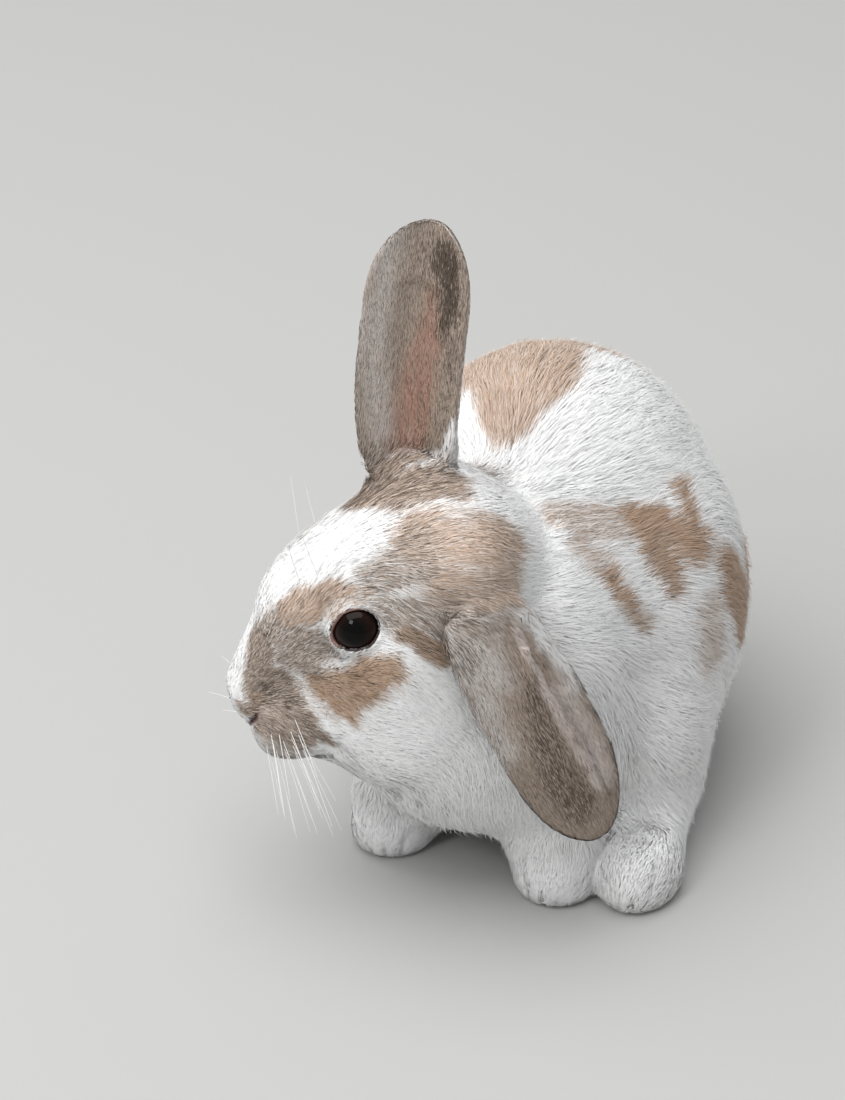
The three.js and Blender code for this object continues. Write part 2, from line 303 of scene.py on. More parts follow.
# Folds of the face. The nostrils are commas that open sideways, the lip is cleft below them, and
# a crease runs down behind the whisker pad. Each is a path, the radius of the groove, its softness.
folds = []
for side in (1, -1):
    folds += [
        ([(48.6, 2.4 * side, -19.6), (47.2, 6.6 * side, -18.6), (43.2, 10.4 * side, -16.2)], 1.4, 0.8),
        ([(35.5, 12.5 * side, -14), (31.2, 15.8 * side, -19), (29.3, 17.4 * side, -27),
          (26.1, 16.6 * side, -35)], 2.4, 2.5),
        ([(41, 0, -33.5), (37, 8 * side, -35.5), (29, 14 * side, -35.5)], 1.2, 1.5)]
folds.append(([(47.5, 0, -20.5), (47, 0, -26), (41, 0, -33.5)], 1.2, 1.2))


def work_along(path, radius, softness, reach, raised=False):
    """Melts a groove, or a raised roll, into the skin along a path."""
    spans, block = around(sum(path) / len(path), reach)
    roll = from_path(block, path) - radius
    if raised:
        skin_field[spans] = melted(skin_field[spans], roll, softness)
    else:
        skin_field[spans] = -melted(-skin_field[spans], roll, softness)


for path, radius, softness in folds:
    work_along([on_head(*place) for place in path], radius, softness, 22)

# Toes: shallow grooves part the front of each paw in four.
toe_groove_radius = 0.2
toe_groove_softness = 2.5
toe_offsets = np.array([-7.2, -2.4, 2.4, 7.2])
paws = ["forepaw_left", "forepaw_right", "hind_foot_left", "hind_foot_right"]
paw_fronts = {}
for node in paws:
    low, high = (np.array(corner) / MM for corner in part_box(node))
    front = np.array([(low[0] + high[0]) / 2, low[1], 0])
    if node.startswith("hind_foot"):
        front[0] = high[0] - 12.2 if node.endswith("left") else low[0] + 12.2
    paw_fronts[node] = front
    for aside in (-4.8, 0, 4.8):
        setback = 0.04 * aside ** 2
        path = [front + np.array(place) for place in (
            (aside, 2.0 + setback, -1), (aside, 3.5 + setback, 8), (aside, 9, 15))]
        work_along(path, toe_groove_radius, toe_groove_softness, 16)


def sampled(values, at, spacing):
    """The field's value at each point, shaded between its neighbours."""
    place = np.clip((at - field_low) / spacing, 0, np.array(values.shape) - 1.001).astype(np.float32)
    low = place.astype(np.int32)
    share = place - low
    strides = np.array([values.shape[1] * values.shape[2], values.shape[2], 1])
    start = low @ strides
    flat = np.ascontiguousarray(values).reshape(-1)
    total = 0
    for corner in range(8):
        weight = 1
        step = 0
        for a in range(3):
            high = corner >> a & 1
            weight = weight * (share[:, a] if high else 1 - share[:, a])
            step += strides[a] * high
        total = total + weight * flat[start + step]
    return total


def unit(way):
    return way / np.maximum(np.linalg.norm(way, axis=-1, keepdims=True), 1e-9)


def slope(at):
    """The way straight out of the skin at each point."""
    steps = 0.7 * np.eye(3)
    return unit(np.stack([
        sampled(skin_field, at + step, grain) - sampled(skin_field, at - step, grain) for step in steps], 1))


# The ears' coat is so short that their skin isn't drawn in, and it makes up what the blur takes from
# their edges. Each ear grows from a root in the head.
blur_takes = 0.4
ear_field = blurred(ears_field, 0.6) - blur_takes
work_along((on_head(-28, -13, 6), on_head(-31, -13, 19)), 8.0, 6.0, 30, raised=True)
work_along((on_head(-37, 21, 2), on_head(-38, 28.5, -10)), 5.0, 6.0, 30, raised=True)
skin_field = melted(skin_field, ear_field, 4.0)

# The ears' broad faces look these ways. A channel runs down the erect ear, and the hanging one has a
# low ridge before its turned rear edge. Each follows the ear's face.
hanging_ear_way = np.array([0.58, -0.77, 0.26])
erect_ear_way = np.array([-0.08, -0.95, 0.30])


def on_face_of_ear(places, way):
    """The places moved on to the face that looks the given way, and the way out of it there."""
    path = np.array([on_head(*place) for place in places]) + 3.0 * way
    for _ in range(6):
        path -= way * sampled(skin_field, path, grain)[:, None]
    return path, slope(path)


for places, way, radius, depth in (
        ([(-60, -12.6, 72), (-50, -14.3, 58), (-43, -14.6, 45), (-39, -14.6, 35)], erect_ear_way, 6.5, 1.3),
        ([(-45.5, 33, -34), (-46.5, 32.5, -46), (-46.7, 32.2, -57), (-45.5, 32.5, -68)],
         hanging_ear_way, 4.5, 1.0)):
    path, out = on_face_of_ear(places, way)
    work_along(path + out * (radius - depth), radius, 1.5, 38)
ridge, out = on_face_of_ear([
    (-43, 34, -25), (-41, 36, -33), (-42.5, 35.4, -42), (-42.5, 35.6, -51), (-42, 35.3, -65),
    (-42, 33.4, -77)], hanging_ear_way)
work_along(ridge + 0.1 * out, 1.2, 1.4, 38, raised=True)


def apply_modifiers(piece):
    made = bpy.data.meshes.new_from_object(piece.evaluated_get(bpy.context.evaluated_depsgraph_get()))
    piece.modifiers.clear()
    piece.data = made
    return made


points, triangles = surface_of(skin_field, 0.0)
skin_mesh = bpy.data.meshes.new("skin_dense")
skin_mesh.from_pydata((points * MM).tolist(), [], triangles[:, ::-1].tolist())
skin = put_in_scene("skin", skin_mesh)
thinned = skin.modifiers.new("thinned", "DECIMATE")
thinned.ratio = 0.59  # keeps it under 200,000 triangles
skin_mesh = apply_modifiers(skin)
skin_mesh.name = "skin"
skin_mesh.shade_smooth()
points = np.empty(len(skin_mesh.vertices) * 3, np.float32)
skin_mesh.vertices.foreach_get("co", points)
points = points.reshape(-1, 3) / MM
triangles = np.empty(len(skin_mesh.loops), np.int32)
skin_mesh.loops.foreach_get("vertex_index", triangles)
triangles = triangles.reshape(-1, 3)

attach(skin, "root")
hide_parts(*flesh)

# ------------------------ eyes
# Glass-bright balls, nearly black, with a very dark brown iris and a cornea that stands a
# little proud. They sit in the sockets of the skin, behind the lids.


def new_material(name, **finish):
    """A material with its tree and shader. The finish sets the shader's own sockets."""
    material = bpy.data.materials.new(name)
    material.use_nodes = True
    shader = material.node_tree.nodes["Principled BSDF"]
    for socket, value in finish.items():
        shader.inputs[socket.replace("_", " ")].default_value = value
    return material, material.node_tree, shader


def attribute_of(tree, name):
    attribute = tree.nodes.new("ShaderNodeAttribute")
    attribute.attribute_name = name
    return attribute.outputs


def noise(tree, scale, detail):
    speckle = tree.nodes.new("ShaderNodeTexNoise")
    speckle.inputs["Scale"].default_value = scale
    speckle.inputs["Detail"].default_value = detail
    return speckle


def graded(tree, shift, amount, base, steps):
    """A colour that runs through the steps with the base, shifted a little by the noise."""
    place = tree.nodes.new("ShaderNodeMath")
    place.operation = "MULTIPLY_ADD"
    place.inputs[1].default_value = amount
    tree.links.new(shift, place.inputs[0])
    tree.links.new(base, place.inputs[2])
    ramp = tree.nodes.new("ShaderNodeValToRGB")
    for k, (position, colour) in enumerate(steps):
        if k < 2:
            ramp.color_ramp.elements[k].position = position
            ramp.color_ramp.elements[k].color = (*colour, 1)
        else:
            ramp.color_ramp.elements.new(position).color = (*colour, 1)
    tree.links.new(place.outputs[0], ramp.inputs[0])
    return ramp.outputs[0]


def write_attribute(mesh, name, kind, values):
    attribute = mesh.attributes.new(name, kind, "POINT")
    field = {"FLOAT_COLOR": "color", "FLOAT_VECTOR": "vector", "FLOAT": "value"}[kind]
    attribute.data.foreach_set(field, np.ascontiguousarray(values, np.float32).ravel())


eye_material, eye_tree, eye_shader = new_material("eye", Roughness=0.05, Specular_IOR_Level=0.12)
iris = graded(eye_tree, noise(eye_tree, 900, 4).outputs["Fac"], 0.12, attribute_of(eye_tree, "ring")["Fac"], (
    (0.40, (0.002, 0.0015, 0.0015)), (0.62, (0.008, 0.0035, 0.002)),
    (0.80, (0.016, 0.006, 0.0035)), (0.93, (0.003, 0.002, 0.002))))
eye_tree.links.new(iris, eye_shader.inputs["Base Color"])

for (centre, gaze, corner, brow), name in zip(eye_places, ("left", "right")):
    place = Vector(head_middle + centre @ head_axes)
    facing = Vector(gaze @ head_axes)
    ball = bmesh.new()
    bmesh.ops.create_uvsphere(
        ball, u_segments=56, v_segments=36, radius=eye_radius,
        matrix=facing.to_track_quat("Z", "Y").to_matrix().to_4x4())
    ring_of = []
    for vertex in ball.verts:
        angle = vertex.co.angle(facing)
        vertex.co *= 1 + 0.045 * max(math.cos(1.6 * angle), 0) if angle < 1 else 1
        vertex.co = (vertex.co + place) * MM
        ring_of.append(min(angle / 1.02, 1))
    eye_mesh = bpy.data.meshes.new("eyeball_" + name)
    ball.to_mesh(eye_mesh)
    ball.free()
    write_attribute(eye_mesh, "ring", "FLOAT", ring_of)
    eye_mesh.shade_smooth()
    eye_mesh.materials.append(eye_material)
    eyeball = put_in_scene("eyeball_" + name, eye_mesh)
    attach(eyeball, "root")
    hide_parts("eye_" + name)

# ------------------------ lid rims
# The bare edge of the lids is a thin moist roll round each eye: nearly black above, reddish
# brown below, and pink at the front corner. It is drawn as one closed strand.

strands = bpy.data.node_groups.new("strands along paths", "GeometryNodeTree")
strands.interface.new_socket("Paths", in_out="INPUT", socket_type="NodeSocketGeometry")
sides_socket = strands.interface.new_socket("Sides", in_out="INPUT", socket_type="NodeSocketInt")
finish_socket = strands.interface.new_socket("Finish", in_out="INPUT", socket_type="NodeSocketMaterial")
strands.interface.new_socket("Strands", in_out="OUTPUT", socket_type="NodeSocketGeometry")
into = strands.nodes.new("NodeGroupInput")
lines = strands.nodes.new("GeometryNodeMeshToCurve")
thickness = strands.nodes.new("GeometryNodeInputNamedAttribute")
thickness.inputs["Name"].default_value = "thickness"
circle = strands.nodes.new("GeometryNodeCurvePrimitiveCircle")
circle.inputs["Radius"].default_value = 1.0
tube = strands.nodes.new("GeometryNodeCurveToMesh")
tube.inputs["Fill Caps"].default_value = True
smooth = strands.nodes.new("GeometryNodeSetShadeSmooth")
real = strands.nodes.new("GeometryNodeRealizeInstances")
finished = strands.nodes.new("GeometryNodeSetMaterial")
out_of = strands.nodes.new("NodeGroupOutput")
for source, target in (
        (into.outputs["Paths"], lines.inputs["Mesh"]),
        (into.outputs["Sides"], circle.inputs["Resolution"]),
        (lines.outputs["Curve"], tube.inputs["Curve"]),
        (circle.outputs["Curve"], tube.inputs["Profile Curve"]),
        (thickness.outputs["Attribute"], tube.inputs["Scale"]),
        (tube.outputs["Mesh"], smooth.inputs["Geometry"]),
        (smooth.outputs["Geometry"], real.inputs["Geometry"]),
        (real.outputs["Geometry"], finished.inputs["Geometry"]),
        (into.outputs["Finish"], finished.inputs["Material"]),
        (finished.outputs["Geometry"], out_of.inputs["Strands"])):
    strands.links.new(source, target)


def make_strands(name, paths, sides, finish, closed=False):
    """One piece made of tubes. Each path is its places, and a radius and a tint at each of them."""
    places = np.concatenate([path[0] for path in paths])
    edges = []
    start = 0
    for path in paths:
        count = len(path[0])
        edges += [(start + k, start + k + 1) for k in range(count - 1)]
        if closed:
            edges.append((start + count - 1, start))
        start += count
    mesh = bpy.data.meshes.new(name)
    mesh.from_pydata((places * MM).tolist(), edges, [])
    for attribute, k, scale in (("thickness", 1, MM), ("tint", 2, 1)):
        write_attribute(mesh, attribute, "FLOAT", np.concatenate([path[k] for path in paths]) * scale)
    piece = put_in_scene(name, mesh)
    tubes = piece.modifiers.new("tubes", "NODES")
    tubes.node_group = strands
    tubes[sides_socket.identifier] = sides
    tubes[finish_socket.identifier] = finish
    made = apply_modifiers(piece)
    shell = bmesh.new()
    shell.from_mesh(made)
    bmesh.ops.recalc_face_normals(shell, faces=shell.faces)
    shell.to_mesh(made)
    shell.free()
    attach(piece, "root")


def add_relief(tree, height, distance, shader):
    bump = tree.nodes.new("ShaderNodeBump")
    bump.inputs["Distance"].default_value = distance
    tree.links.new(height, bump.inputs["Height"])
    tree.links.new(bump.outputs[0], shader.inputs["Normal"])


def tinted_material(name, first, last, roughness):
    """A material whose colour goes from the first to the last with the tint, slightly mottled."""
    material, tree, shader = new_material(name, Roughness=roughness)
    mottle = noise(tree, 700, 3).outputs["Fac"]
    colour = graded(tree, mottle, 0.3, attribute_of(tree, "tint")["Fac"], ((0.15, first), (1.1, last)))
    tree.links.new(colour, shader.inputs["Base Color"])
    add_relief(tree, mottle, 0.00004, shader)
    return material


rim_material = tinted_material("lid rim", (0.030, 0.018, 0.015), (0.34, 0.17, 0.14), 0.35)
rims = []
for centre, gaze, corner, brow in eye_places:
    around_eye = np.linspace(0, 2 * math.pi, 49)[:-1]
    along = (opening_half_length + 0.05) * np.cos(around_eye)
    above = (opening_half_height + 0.05) * np.sin(around_eye) / np.where(along > 0, 1 + 0.035 * along, 1)
    out = np.sqrt((eye_radius + 0.75 * lid_thickness) ** 2 - along ** 2 - above ** 2)
    offset = along[:, None] * corner + above[:, None] * brow + out[:, None] * gaze
    places = head_middle + (centre + offset) @ head_axes
    to_corner = np.clip((along / opening_half_length - 0.80) / 0.2, 0, 1)
    below = np.clip(0.5 - above / opening_half_height, 0, 1)
    rims.append((places, 0.36 + 0.25 * to_corner, 0.40 * below + 0.5 * to_corner))
make_strands("lid_rims", rims, 10, rim_material, closed=True)

# ------------------------ whiskers
# Fine white bristles, stiff at the root, that droop towards the tip. Rows of them grow from
# the pads beside the nose, and two more stand above each eye.

random = np.random.default_rng(7)
whisker_radius = 0.10
whisker_material = tinted_material("whisker", (0.80, 0.79, 0.77), (0.93, 0.92, 0.90), 0.3)


def whisker(root, way, length, droop):
    along = np.linspace(0, 1, 9)
    way = np.array(way) / np.linalg.norm(way) @ head_axes
    places = root + length * along[:, None] * way
    places[:, 2] -= droop * length * along ** 2
    return places, whisker_radius * (1 - along) ** 0.8 + 0.03, along


def from_inside(forward, left, up, side):
    """The place where a line sideways out of the head leaves the skin."""
    for _ in range(60):
        if sampled(skin_field, on_head(forward, left, up)[None], grain)[0] > -0.8:
            break
        left += 0.3 * side
    return on_head(forward, left, up)


whiskers = []
for side in (1, -1):
    for row, up in enumerate((-19.5, -22.5, -25.5, -28.5)):
        for rank in range(4 if row in (0, 3) else 5):
            forward = (31.5 if side == 1 else 35) + 2.5 * rank + 0.8 * row
            root = from_inside(forward, 7 * side, up, side)
            spread = random.uniform(-0.09, 0.09, 3)
            if side == 1:
                way = np.array([-0.10 + 0.09 * rank, 0.62 - 0.05 * row, -0.50 - 0.16 * row]) + spread
                length = random.uniform(20, 32)
            else:
                way = np.array([0.25 + 0.06 * rank, -0.85, 0.42 - 0.16 * row]) + spread
                length = random.uniform(20, 26)
            whiskers.append(whisker(root, way, length, 0.10))
    for forward, length in ((9, 24), (3, 19)):
        root = from_inside(forward, 9 * side, 15, side)
        way = np.array([-0.3, 0.30 * side, 0.9]) + random.uniform(-0.1, 0.1, 3)
        whiskers.append(whisker(root, way, length, 0.0))
make_strands("whiskers", whiskers, 5, whisker_material)

# ------------------------ claws
# Small pale horn claws, one to a toe. They curve down from the front of the paw, and the hair of
# the feet hides most of them.

claw_material = tinted_material("claw", (0.42, 0.31, 0.25), (0.70, 0.62, 0.54), 0.35)
claw_length = 7.2
claw_radius = 1.15
claws = []
for node in paws:
    for aside in toe_offsets:
        along = np.linspace(0, 1, 7)
        behind = 9.8 + 0.10 * aside ** 2 - claw_length * along
        above = 4.2 - 0.6 * along - 2.6 * along ** 2
        places = paw_fronts[node] + np.stack([np.full(7, aside), behind, above], 1)
        claws.append((places, claw_radius * (1 - along ** 2.2) + 0.12, along))
make_strands("claws", claws, 8, claw_material)

# ------------------------ markings
# The coat is white, with fawn patches and a smoky brown on ears and muzzle. Each patch is a few
# broad strokes, from one place to another, with a radius at each end. Its edge is ragged, as fur is.
# Some marks are painted shade and painted light, as said where each stands.

lattice = random.random((24, 24, 24), np.float32) * 2 - 1


def waver(at, size, shift=0.0):
    """A smooth random number between -1 and 1 that changes over a length of about size."""
    place = at / size + shift
    low = np.floor(place).astype(np.int32)
    share = (place - low).astype(np.float32)
    share = share * share * (3 - 2 * share)
    total = 0
    for corner in range(8):
        weight = 1
        for a in range(3):
            weight = weight * (share[:, a] if corner >> a & 1 else 1 - share[:, a])
        step = np.array([corner >> a & 1 for a in range(3)])
        total = total + weight * lattice[tuple(((low + step) % 24).T)]
    return total


def waver_way(at, size, shift=0.0):
    return np.stack([waver(at, size, shift + 3.7 * a) for a in range(3)], 1)


def eased(values, low, high):
    share = np.clip((values - low) / (high - low), 0, 1)
    return share * share * (3 - 2 * share)


def strokes(*chains):
    """A stroke from each place in a chain to the next. Each place ends with the stroke's radius there."""
    return [(a[:3], b[:3], a[3], b[3]) for chain in chains for a, b in zip(chain, chain[1:])]


def on_both_sides(*chains):
    mirrored = [[(forward, -left, up, radius) for forward, left, up, radius in chain] for chain in chains]
    return strokes(*chains, *mirrored)


# On the head, in its own axes.
brow_patch = on_both_sides(
    [(16, 15, 10, 5), (10, 16.5, 12, 5.5), (-2, 19.5, 12.5, 4), (-8, 22.5, 9.5, 3.5)],
    [(12, 18, 8, 4), (1, 20.5, 9, 3.5)])
brow_patch += strokes([(13, -9, 19, 3.5), (3, -11, 22, 4)])
before_eye = on_both_sides([(24, 12, 6, 6), (14, 16.5, -2, 6)], [(23, 13.5, -3, 5), (18, 16, -9, 4.5)])
temple_smoke = on_both_sides(
    [(-13, 21, 12, 5), (-28, 23, 12, 9)], [(-16, 28, -1, 6), (-36, 30, -6, 9)],
    [(-11, 26, 4, 4), (-19, 30, -5, 6)])
temple_fawn = on_both_sides([(-40, 29, -3, 10), (-46, 29, -8, 8)], [(-32, 30, 4, 8), (-40, 31, -4, 9)])
temple_fawn += strokes([(-30, 20, 15, 9), (-46, 23, 4, 13)], [(-28, -22, 13, 7), (-38, -28, 6, 7)])
orange_nape = strokes([(-36, 24, 12, 7), (-43, 28, -4, 7)])
behind_eye = on_both_sides([(-14, 29, -6, 4), (-27, 36, -17, 6.5)])
under_eye = on_both_sides(
    [(18, 16.5, -14, 5), (5, 24.5, -16, 7.5)], [(5, 24.5, -16, 6.5), (-6, 29.8, -13, 3.5)],
    [(11, 20, -18, 6), (14, 21, -25, 3)], [(19.5, 16, -15, 4), (17, 19.5, -22, 3.5)])
muzzle_smoke = on_both_sides([(31, 8, 3, 7), (42, 12, -13, 8)], [(31, 11, -9, 6), (35.5, 15, -24, 8.2)])
muzzle_spots = on_both_sides([(36, 10, -8, 3), (31.5, 13, -16, 3)], [(44, 9, -12, 2), (40, 11, -13, 2.5)])
whisker_streak = on_both_sides([(27, 11.5, -12, 1), (23.5, 16.5, -23, 2.2), (18, 20, -31, 3)])
nostril_fawn = on_both_sides([(42, 10, -11, 5), (45, 8, -15, 4)])
# The collar round the erect ear's base: partly fawn hair, partly painted shade where the ear meets the head.
ear_collar_and_shade = strokes(
    [(-17, -5, 27, 8), (-30, 3, 26, 10), (-42, 4, 19, 7.5)], [(-20, -13, 29, 6), (-38, -12, 27, 6)])
ear_groove = strokes(
    [(-34, -15, 27, 6.5), (-47.5, -13, 46.8, 5.5)],
    [(-47.5, -12.5, 46.8, 5.5), (-58, -10.5, 60, 3.5), (-65, -9.5, 71, 1.5)])
# Painted shade in the crease behind the whisker pad.
crease_shade = on_both_sides(
    [(36, 12, -14, 1.3), (31.2, 15.8, -19, 2), (29.3, 17.4, -27, 2), (25.5, 17.2, -34, 1.5)])
pale_lip = on_both_sides([(44, 10, -20, 2.0), (38, 16, -28, 2.5), (34, 15, -34, 2.5)])
cheek_shade = on_both_sides([(26, 13, -12, 3), (20.5, 18, -24, 3)])
# Painted shade behind the nostrils.
nostril_shade = on_both_sides([(45, 8, -13.5, 2.2), (37, 12, -15, 3)])
erect_root = strokes([(-21.5, -13, 28, 5), (-22.5, -5, 27, 4)])
hanging_root = strokes([(-27, 33, -7, 5), (-38, 33, -14, 6.5)])
hanging_pale = strokes(
    [(-46, 31, -42, 4), (-45, 33, -73, 3.5)], [(-28, 36, -12, 5.5), (-24, 39, -48, 4)],
    [(-34, 35, -13, 6), (-32, 37, -27, 4.5)])
hanging_white = strokes(
    [(-45.5, 28, -12, 4.5), (-48, 26.5, -20, 4.5), (-49, 28, -31, 3.5), (-49, 29.5, -44, 1.5)])
# Warm brown streaks down the hanging ear, darkened further low down with painted shade.
hanging_dark = strokes([(-39.5, 36.5, -32, 2.5), (-34, 39, -60, 6), (-34, 38, -76, 5.5)])
hanging_ridge = strokes(
    [(-43.5, 32, -15, 1.2), (-43.4, 34.8, -24, 1.4), (-42.6, 36.2, -42, 1.8), (-42.4, 36, -65, 1.8),
     (-41, 35, -75, 1.4)])
# Painted shade on the erect ear's right wall, which turns away from the light and curls over. The upper
# stroke below is partly that ear's darker streaked hair and partly painted shade.
erect_shade = strokes([(-73, -7.3, 78, 5.5), (-69, -5.5, 66, 5), (-62, -8, 59, 3)])
erect_upper = strokes([(-71, -8, 82, 6), (-60, -5, 50, 4)])
erect_white = strokes([(-52, -0.5, 34, 2.5), (-46, 0.5, 26, 5)])
# The erect ear's left band: partly its own paler hair, partly painted light where it faces the light.
erect_pale = strokes([(-62, -13, 92, 5), (-40, -13.5, 62, 5), (-27, -15, 32, 4)])

# On the body, in the frame's own axes.
saddle = strokes(
    [(-3, 13, 130, 17), (-8, 34, 131, 18)], [(-2, 0, 127, 12), (-3, -17, 123, 4)],
    [(-4, 40, 131, 11), (22, 48, 120, 4)], [(-20, 22, 126, 17), (-44, 28, 100, 13)])
flank_light = strokes(
    [(21, -43, 115, 6), (29, -35, 111, 6.5), (40, -20, 104, 6)], [(30, -46, 109, 5.5), (38, -47, 99, 5.5)])
flank_fawn = strokes(
    [(40, -20, 104, 6.5), (56, -7, 92, 6.5)], [(49, 3, 104, 4), (57, -5, 92, 4.5)],
    [(46, -20, 97, 7), (52, -24, 87, 4.5)], [(38, -47, 99, 4.5), (48, -41, 81, 3.2)],
    [(66, 2, 78, 9), (69, 8, 60, 10)], [(64, 28, 66, 11), (56, 44, 56, 8)],
    [(20, 82, 92, 12), (8, 92, 74, 9)], [(-60, -8, 84, 10), (-62, 10, 66, 12)],
    [(-52, 40, 78, 9), (-40, 62, 84, 12)])
flank_brown = strokes([(47, -20, 97, 6), (52, -25, 87, 4.5)])
flank_faint = strokes([(60, -2, 87, 5), (64, 4, 80, 6)], [(62, -14, 74, 7), (65, -18, 62, 8)])


def covered(at, patch, edge):
    """How far inside a patch's strokes each point lies, from 0 to 1, over a soft edge."""
    inside = np.full(len(at), -99.0, np.float32)
    for a, b, radius_a, radius_b in patch:
        a, b = np.array(a, np.float32), np.array(b, np.float32)
        spine = b - a
        along = np.clip((at - a) @ spine / spine.dot(spine), 0, 1)
        away = np.linalg.norm(at - a - along[:, None] * spine, axis=1)
        inside = np.maximum(inside, radius_a + (radius_b - radius_a) * along - away)
    return eased(inside / edge, -0.5, 0.5)


def markings(at, out):
    """Fawn, smoke, dark ticks and bare pink at each place on the coat's surface. The dark ticks carry painted
    shade too, and the ears' pale share carries painted light.
    """
    ragged = (at + 2.2 * waver_way(at, 7.0) + 1.0 * waver_way(at, 2.6, 9.0)).astype(np.float32)
    on_face = in_head(ragged).astype(np.float32)
    local = in_head(at)
    blaze_width = 3.6 + 4.4 * eased(local[:, 0], 32, 46)
    blaze = np.clip((np.abs(local[:, 1] + 0.6 * waver(at, 6.0)) - blaze_width) / 2.5, 0, 1)
    brow_there = covered(on_face, brow_patch, 3.0)
    front_there = covered(on_face, before_eye, 5.0)
    nape_there = covered(on_face, orange_nape, 9.0)
    temple_there = covered(on_face, temple_smoke, 5.0) * (1 - 0.5 * nape_there)
    behind_there = covered(on_face, behind_eye, 3.0)
    under_there = covered(on_face, under_eye, 4.5)
    muzzle_there = covered(on_face, muzzle_smoke, 4.0) * blaze
    spots_there = covered(on_face, muzzle_spots, 2.5) * blaze
    collar_and_shade_there = covered(on_face, ear_collar_and_shade, 4.0)
    cheek_there = covered(on_face, cheek_shade, 4.0)
    # Painted shade in the creases, laid on as darker fawn and smoky hair with dark ticks.
    crease_shade_there = np.maximum(covered(on_face, crease_shade, 2.5), covered(on_face, nostril_shade, 3.0))
    flank_there = np.maximum(covered(ragged, flank_fawn, 4.5), 0.52 * covered(ragged, flank_light, 4.0))
    fawn = np.maximum.reduce([
        0.85 * brow_there, 0.8 * covered(on_face, temple_fawn, 8.0), under_there,
        0.6 * front_there, 0.75 * muzzle_there, 0.45 * cheek_there,
        covered(on_face, nostril_fawn, 4.0) * blaze, behind_there, 0.5 * temple_there,
        0.85 * covered(ragged, saddle, 4.0), flank_there, 0.45 * covered(ragged, flank_faint, 6.0),
        0.8 * collar_and_shade_there, 0.8 * crease_shade_there])
    ear_parts = [sampled(influence[node], at, coarse_grain) for node in ("ear_left", "ear_right")]
    hanging, erect = (np.clip((part - 0.35) / 0.3, 0, 1) for part in ear_parts)
    on_ears = (at + 1.2 * waver_way(at, 5.0)).astype(np.float32)
    on_ears = in_head(on_ears).astype(np.float32)
    ridge_there = hanging * covered(on_ears, hanging_ridge, 1.5)
    pale_and_lit_ear = hanging * covered(on_ears, hanging_pale, 9.0) + 0.7 * erect * covered(on_ears, erect_pale, 9.0)
    dark_and_shaded_ear = hanging * covered(on_ears, hanging_dark, 6.0)
    # Painted light: each ear is made paler and less ticked where its surface turns edge-on, standing for the
    # light that shows through the hair at its rims.
    rim = hanging * (1 - np.abs(out @ hanging_ear_way)) + erect * (1 - np.abs(out @ erect_ear_way))
    rim = eased(rim, 0.35, 0.75)
    pale_and_lit_ear = np.maximum(pale_and_lit_ear, (1.6 * erect + 0.9 * hanging) * rim)
    pale_and_lit_ear = np.maximum(pale_and_lit_ear, 1.2 * ridge_there)
    fawn *= 1 - 0.9 * np.maximum(hanging, erect)
    white_ear = hanging * covered(on_ears, hanging_white, 5.0) + erect * covered(on_ears, erect_white, 3.0)
    smoke = np.maximum.reduce([
        np.maximum(hanging, erect) * (1 - 0.4 * pale_and_lit_ear) * (1 - 0.9 * white_ear),
        0.8 * covered(on_face, hanging_root, 4.0), 0.8 * covered(on_face, erect_root, 4.0),
        0.40 * front_there, 0.66 * muzzle_there, 0.75 * crease_shade_there, 0.46 * temple_there,
        0.45 * behind_there, 0.3 * collar_and_shade_there, 0.2 * cheek_there,
        0.35 * covered(ragged, flank_brown, 4.0)])
    # Dark ticks: real ticked hair on brows, temples, muzzle and ears, and painted shade on the erect ear's
    # right wall and upper part, low on the hanging ear, round the ear's base and in the creases.
    ticking_and_shade = np.maximum.reduce([
        (0.08 * hanging + 0.55 * dark_and_shaded_ear) * (1 - rim) * (1 - ridge_there),
        (0.10 * erect + 0.30 * erect * covered(on_ears, erect_upper, 7.0)) * (1 - rim),
        0.98 * erect * covered(on_ears, erect_shade, 8.0) * (1 - 0.5 * rim), 0.14 * brow_there,
        0.26 * temple_there, 0.30 * front_there, 0.32 * muzzle_there, 0.55 * spots_there,
        0.4 * crease_shade_there, 0.35 * behind_there, 0.12 * under_there, 0.35 * collar_and_shade_there, 0.04 * flank_there])
    streaks = waver(at * np.array([1, 1, 0.15]), 1.4)
    pink = covered(on_ears, ear_groove, 7.0) * erect * (0.85 + 0.35 * streaks)
    rear_pink = 0.25 * covered(on_ears, hanging_pale[:1], 6.0)
    pink = np.maximum(pink, hanging * np.maximum(rear_pink, 0.4 * ridge_there))
    streak = 0.42 * covered(on_face, whisker_streak, 2.5)
    streak = np.maximum(streak, 0.6 * covered(on_face, pale_lip, 3.5))
    fawn, smoke, ticking_and_shade = (amount * (1 - streak) for amount in (fawn, smoke, ticking_and_shade))
    for centre, gaze, corner, brow in eye_places:
        offset = local - centre
        along, above = offset @ corner, offset @ brow
        ring = np.hypot(along / (opening_half_length + 2.0), (above + 1.2) / (opening_half_height + 2.0))
        pale = np.clip((1.25 - ring) / 0.2, 0, 1) * (offset @ gaze > 0) * np.clip((3.0 - above) / 3, 0, 1)
        fawn, smoke, ticking_and_shade = (amount * (1 - 0.3 * pale) for amount in (fawn, smoke, ticking_and_shade))
    return np.stack([fawn, smoke, ticking_and_shade, pink], 1).astype(np.float32)


# ------------------------ fur colours
# Each hair is paler at its root. Fawn hair is sandy with lighter tips, smoky hair is banded grey
# and brown, and hair with dark ticks ends nearly black. The same dark end also lays on painted shade
# where the marks ask for it. Skin and coat take their colour from one group.


